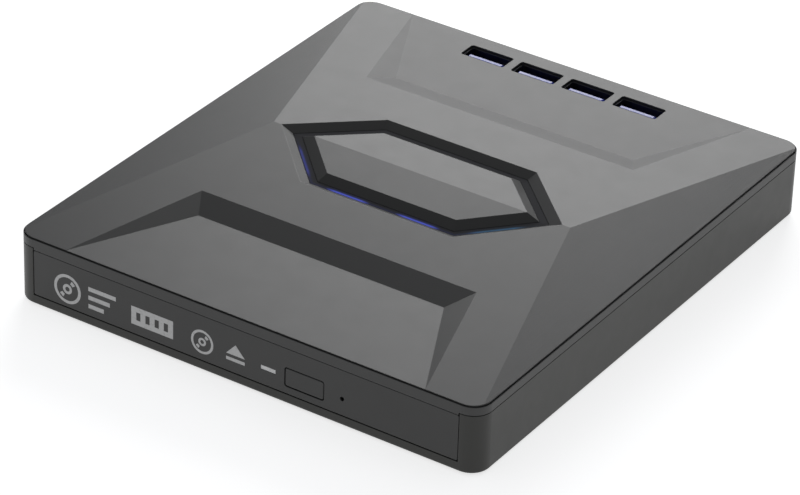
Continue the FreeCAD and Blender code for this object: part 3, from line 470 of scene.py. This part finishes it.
def add_plate(bm, outline, thickness, hole=None):
    """A flat plate in the XZ plane, facing -Y, from an outline of (x, y, z) points."""
    front = [bm.verts.new(p) for p in outline]
    back = [bm.verts.new(p + Vector((0, thickness, 0))) for p in outline]
    count = len(outline)
    if hole:
        front_in = [bm.verts.new(p) for p in hole]
        back_in = [bm.verts.new(p + Vector((0, thickness, 0))) for p in hole]
        for i in range(count):
            j = (i + 1) % count
            bm.faces.new((front[i], front[j], front_in[j], front_in[i]))
            bm.faces.new((back[j], back[i], back_in[i], back_in[j]))
            bm.faces.new((front_in[i], front_in[j], back_in[j], back_in[i]))
            bm.faces.new((front[j], front[i], back[i], back[j]))
        return
    bm.faces.new(front)
    bm.faces.new(list(reversed(back)))
    for i in range(count):
        j = (i + 1) % count
        bm.faces.new((front[j], front[i], back[i], back[j]))


def tube(bm, points, radius, sides=10):
    """A closed round tube along a list of points."""
    rings = []
    for i, point in enumerate(points):
        ahead = points[min(i + 1, len(points) - 1)] - points[max(i - 1, 0)]
        turn = ahead.to_track_quat("Z", "Y")
        ring = []
        for k in range(sides):
            angle = 2 * math.pi * k / sides
            offset = Vector((math.cos(angle), math.sin(angle), 0)) * radius
            ring.append(bm.verts.new(point + turn @ offset))
        rings.append(ring)
    for low, high in zip(rings, rings[1:]):
        for k in range(sides):
            j = (k + 1) % sides
            bm.faces.new((low[k], low[j], high[j], high[k]))
    bm.faces.new(list(reversed(rings[0])))
    bm.faces.new(rings[-1])


# ------------------------------------------------------------ printed marks on the bezel
PRINT_T = 0.03 * MM
PRINT_Y = BEZEL_LOW.y - PRINT_T * 0.6   # front of the print, which is part sunk into the plastic
MARK_Z = BEZEL_LOW.z + 5.27 * MM        # middle of the row


def arc_points(cx, cz, radius, start, stop, steps):
    found = []
    for i in range(steps + 1):
        angle = math.radians(start + (stop - start) * i / steps)
        found.append(Vector((cx + radius * math.cos(angle), PRINT_Y,
                             cz + radius * math.sin(angle))))
    return found


def mark_disc(bm, cx, cz, size):
    """A plain disc symbol: a broad ring and a small hub ring."""
    for outer, inner in ((1.0, 0.8), (0.34, 0.16)):
        ring = arc_points(cx, cz, size * outer, 0, 360, 48)[:-1]
        hole = arc_points(cx, cz, size * inner, 0, 360, 48)[:-1]
        add_plate(bm, ring, PRINT_T, hole)
    for start in (35, 215):
        near = arc_points(cx, cz, size * 0.46, start, start + 28, 8)
        far = arc_points(cx, cz, size * 0.70, start + 28, start, 8)
        add_plate(bm, near + far, PRINT_T)


def mark_bars(bm, x0, x1, cz, size):
    """Three level bars of falling length, as on a data gauge."""
    for row, share in enumerate((1.0, 0.78, 0.56)):
        z = cz + size * (0.7 - 0.7 * row)
        half = size * 0.17
        corners = [(x0, z - half), (x0 + (x1 - x0) * share, z - half),
                   (x0 + (x1 - x0) * share, z + half), (x0, z + half)]
        add_plate(bm, [Vector((x, PRINT_Y, zz)) for x, zz in corners], PRINT_T)


def mark_tray(bm, x0, x1, cz, size):
    """A triangle over a bar, the usual symbol for opening a tray."""
    mid = (x0 + x1) / 2
    triangle = [(mid - size, cz - size * 0.1), (mid + size, cz - size * 0.1), (mid, cz + size)]
    bar = [(mid - size, cz - size * 0.75), (mid + size, cz - size * 0.75),
           (mid + size, cz - size * 0.42), (mid - size, cz - size * 0.42)]
    for corners in (triangle, bar):
        add_plate(bm, [Vector((x, PRINT_Y, z)) for x, z in corners], PRINT_T)


def mark_plate(bm, x0, x1, cz, size):
    """A filled plate with a row of square windows."""
    windows = 4
    bar = (x1 - x0) * 0.12
    pitch = (x1 - x0 - bar) / windows
    spans = [(x0, x1, size * 0.45, size), (x0, x1, -size, -size * 0.45)]
    for i in range(windows + 1):
        start = x0 + pitch * i
        spans.append((start, start + bar, -size * 0.45, size * 0.45))
    for left, right, low, high in spans:
        corners = [(left, cz + low), (right, cz + low), (right, cz + high), (left, cz + high)]
        add_plate(bm, [Vector((x, PRINT_Y, z)) for x, z in corners], PRINT_T)


marks = bmesh.new()
mark_disc(marks, -53.2 * MM, MARK_Z, 4.2 * MM)
mark_bars(marks, -46.6 * MM, -38.0 * MM, MARK_Z, 3.6 * MM)
mark_plate(marks, -33.2 * MM, -20.3 * MM, MARK_Z, 2.6 * MM)
mark_disc(marks, -11.4 * MM, MARK_Z, 3.4 * MM)
mark_tray(marks, -4.1 * MM, 1.5 * MM, MARK_Z, 2.8 * MM)
new_piece("bezel_marks", marks, PRINT, "tray")


# ------------------------------------------------------------ sockets: contacts on the tongues
CONTACT_OFFSETS = (-3.5, -1.0, 1.0, 3.5)
CONTACT_HALF = 0.5 * MM
CONTACT_TOP = 1.2 * MM                  # below the tongue's top
CONTACT_END = 8.2 * MM

for number in range(1, 5):
    low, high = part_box("usb_tongue_%d" % number)
    centre = (low.x + high.x) / 2
    face_y = middle("usb_tongue_%d" % number).y - 0.01 * MM
    bm = bmesh.new()
    for offset in CONTACT_OFFSETS:
        x = centre + offset * MM
        add_block(bm, Vector((x - CONTACT_HALF, face_y - 0.02 * MM, high.z - CONTACT_END)),
                  Vector((x + CONTACT_HALF, face_y + 0.12 * MM, high.z - CONTACT_TOP)), 0.05 * MM)
    new_piece("usb_contacts_%d" % number, bm, GOLD, "case")


# ------------------------------------------------------------ ribbon and button spring
def ribbon():
    """Flat ribbon folded once between the drive body and the tray.

    In the drive the lower run stays with the body and the upper run's far end rides out with the
    tray; this piece is fixed and does not follow the tray. The fold stands where the ribbon's
    whole length is used up when the tray is fully out.
    """
    low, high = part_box("ffc_ribbon")
    film = 0.02 * MM
    inset = 0.05 * MM                   # middle of each run, from the faces of the CAD strip
    low_z = low.z + inset
    high_z = high.z - inset
    rise = high_z - low_z
    fold_y = -34.0 * MM
    upper_end = 30.0 * MM               # end of the run that rides with the tray
    steps = 24                          # along each run
    bends = 8                           # round the fold
    bulge = 0.15 * rise
    bm = bmesh.new()
    line = []
    for i in range(steps + 1):
        line.append((high.y + (fold_y - high.y) * i / steps, low_z))
    for i in range(1, bends):
        angle = math.pi * i / bends
        line.append((fold_y - bulge * math.sin(angle), low_z + rise / 2 * (1 - math.cos(angle))))
    for i in range(steps + 1):
        line.append((fold_y + (upper_end - fold_y) * i / steps, high_z))
    rows = []
    for index, (y, z) in enumerate(line):
        before = Vector(line[max(index - 1, 0)])
        after = Vector(line[min(index + 1, len(line) - 1)])
        along = (after - before).normalized()
        side = Vector((-along.y, along.x)) * film / 2
        row = []
        for x in (low.x, high.x):
            for sign in (-1, 1):
                row.append(bm.verts.new((x, y + sign * side.x, z + sign * side.y)))
        rows.append(row)
    for a, b in zip(rows, rows[1:]):
        for i, j in ((0, 1), (1, 3), (3, 2), (2, 0)):
            bm.faces.new((a[i], a[j], b[j], b[i]))
    for row in (rows[0], rows[-1]):
        bm.faces.new((row[0], row[1], row[3], row[2]))
    piece = new_piece("ribbon", bm, MATERIALS["flex_film"], None)
    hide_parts("ffc_ribbon")
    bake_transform(piece)


def spring():
    """Coil between the button's back and the front wall of the tray."""
    low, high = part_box("button_spring")
    centre = middle("button_spring")
    wire = 0.15 * MM
    radius = (high.x - low.x) / 2 - wire
    y0 = low.y + wire
    y1 = high.y - wire
    turns = 3.25
    steps = 90
    points = []
    for i in range(steps + 1):
        angle = 2 * math.pi * turns * i / steps
        points.append(Vector((centre.x + radius * math.cos(angle), y0 + (y1 - y0) * i / steps,
                              centre.z + radius * math.sin(angle))))
    bm = bmesh.new()
    tube(bm, points, wire, 8)
    piece = new_piece("spring_coil", bm, MATERIALS["spring_steel"], None, True)
    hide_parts("button_spring")
    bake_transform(piece)


ribbon()
spring()


# ------------------------------------------------------------ small parts inside the drive
def stator_coils():
    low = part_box("spindle_stator")[0]
    centre = middle("spindle_stator")
    teeth = 9
    tooth_r = 8.0 * MM                  # middle of each winding from the axis
    tooth_z = low.z + 2.7 * MM
    steps = 16
    bm = bmesh.new()
    for k in range(teeth):
        angle = 2 * math.pi * k / teeth
        hub = Vector((centre.x + tooth_r * math.cos(angle), centre.y + tooth_r * math.sin(angle),
                      tooth_z))
        out = Vector((math.cos(angle), math.sin(angle), 0))
        across = Vector((-out.y, out.x, 0))
        points = []
        for i in range(steps + 1):
            turn = 2 * math.pi * i / steps
            rise = Vector((0, 0, 0.9 * MM * math.sin(turn)))
            points.append(hub + across * (1.5 * MM * math.cos(turn)) + rise
                          + out * (2.2 * MM * (i / steps - 0.5)))
        tube(bm, points, 0.22 * MM, 8)
    new_piece("stator_coils", bm, COPPER, "tray", True)


def board_parts(name, board, body, rows, columns, size, margin):
    """Rows of small surface mount parts on a board's upper face."""
    low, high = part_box(board)
    row_pitch = 2.2 * MM
    bm = bmesh.new()
    for r in range(rows):
        for c in range(columns):
            left_empty = (r * 3 + c * 5) % 4 == 1
            if left_empty:
                continue
            x = low.x + margin + (high.x - low.x - 2 * margin) * c / (columns - 1)
            y = high.y - margin - r * row_pitch
            half = size * (0.5 if (r + c) % 3 else 0.8)
            add_block(bm, Vector((x - half, y - half * 0.5, high.z)),
                      Vector((x + half, y + half * 0.5, high.z + half * 0.5)), 0.06 * MM)
    new_piece(name, bm, MATERIALS["chip_black"], body)


def lens_wires():
    """Four fine wires that carry the lens holder."""
    low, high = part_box("lens_holder")
    wire = 0.06 * MM
    pitch = 1.9 * MM
    inset = 0.35 * MM                   # wires from the holder's upper and lower faces
    pad_t = 0.4 * MM                    # solder pad on each side of the holder
    bm = bmesh.new()
    for side in (-1, 1):
        for z in (low.z + inset, high.z - inset):
            x = side * (high.x + 0.25 * MM)
            start = Vector((x, low.y + 2.0 * MM, z))
            points = [start + Vector((0, pitch * i, 0)) for i in range(6)]
            tube(bm, points, wire, 6)
        pad_x = side * high.x if side > 0 else side * high.x - pad_t
        pad_low = Vector((pad_x, low.y + 1.6 * MM, low.z + 0.1 * MM))
        pad_high = Vector((pad_x + pad_t, low.y + 2.4 * MM, high.z - 0.1 * MM))
        add_block(bm, pad_low, pad_high, 0.05 * MM)
    new_piece("lens_wires", bm, COPPER, "lens")


stator_coils()
board_parts("hub_small_parts", "hub_board", "case", 2, 26, 1.1 * MM, 8.0 * MM)
board_parts("tray_small_parts", "tray_board", "tray", 2, 24, 1.0 * MM, 6.0 * MM)
lens_wires()


# ------------------------------------------------------------ stage, light and camera
FLOOR_HALF = 4.0                        # half width of the floor, m
FLOOR_DROP = 0.05 * MM                  # below the feet, so that no two faces coincide
FLOOR_GLOW = 0.70
WORLD_LIGHT = 0.34
WORLD_TINT = (0.95, 0.97, 1.0, 1.0)

CAMERA_AZIMUTH = 32.663                 # degrees from the front towards the right
CAMERA_ELEVATION = 31.085
CAMERA_ROLL = 1.95
CAMERA_LENS = 184.48                    # mm, on a 36 mm sensor
CAMERA_PLACE = (0.48926, -0.77115, 0.5522)


def floor():
    bm = bmesh.new()
    bmesh.ops.create_grid(bm, x_segments=1, y_segments=1, size=FLOOR_HALF)
    mesh = bpy.data.meshes.new("floor")
    bm.to_mesh(mesh)
    bm.free()
    s = Shader("floor_paper", (0.93, 0.93, 0.93), 0.9)
    s.color(s.noise(3, 3), (0.78, 0.78, 0.78), (0.82, 0.82, 0.82))
    s.put("Specular IOR Level", 0.0)
    s.put("Emission Color", (1.0, 1.0, 1.0, 1.0))
    s.put("Emission Strength", FLOOR_GLOW)
    mesh.materials.append(s.mat)
    made = bpy.data.objects.new("floor", mesh)
    made.location.z = -FLOOR_DROP
    bpy.context.scene.collection.objects.link(made)


def direction(azimuth, elevation):
    """Unit vector from the object; azimuth 0 is in front, 90 to the right."""
    a = math.radians(azimuth)
    e = math.radians(elevation)
    return Vector((math.sin(a) * math.cos(e), -math.cos(a) * math.cos(e), math.sin(e)))


def softbox(name, azimuth, elevation, distance, width, height, radiance):
    """An area light that faces the object."""
    data = bpy.data.lights.new(name, "AREA")
    data.shape = "RECTANGLE"
    data.size = width
    data.size_y = height
    data.energy = radiance * math.pi * width * height
    lamp = bpy.data.objects.new(name, data)
    toward = direction(azimuth, elevation)
    lamp.location = toward * distance
    lamp.rotation_euler = toward.to_track_quat("Z", "Y").to_euler()
    bpy.context.scene.collection.objects.link(lamp)


def studio():
    world = bpy.data.worlds.new("studio")
    world.use_nodes = True
    background = world.node_tree.nodes["Background"]
    background.inputs["Color"].default_value = WORLD_TINT
    background.inputs["Strength"].default_value = WORLD_LIGHT
    bpy.context.scene.world = world
    softbox("back_light", azimuth=206, elevation=26, distance=0.78, width=0.43, height=0.34,
            radiance=5.7)
    bpy.context.scene.view_settings.view_transform = "Standard"


def camera():
    """The photograph's viewing angle: from the front right, above, with a long lens."""
    roll = math.radians(CAMERA_ROLL)
    data = bpy.data.cameras.new("camera")
    data.sensor_width = 36.0
    data.lens = CAMERA_LENS
    data.clip_start = 0.05
    data.clip_end = 20.0
    back = direction(CAMERA_AZIMUTH, CAMERA_ELEVATION)
    right = (-back).cross(Vector((0, 0, 1))).normalized()
    up = right.cross(-back)
    tilted_right = right * math.cos(roll) + up * math.sin(roll)
    tilted_up = up * math.cos(roll) - right * math.sin(roll)
    turn = Matrix((tilted_right, tilted_up, back)).transposed().to_4x4()
    made = bpy.data.objects.new("camera", data)
    made.matrix_world = Matrix.Translation(CAMERA_PLACE) @ turn
    bpy.context.scene.collection.objects.link(made)
    bpy.context.scene.camera = made


floor()
studio()
camera()
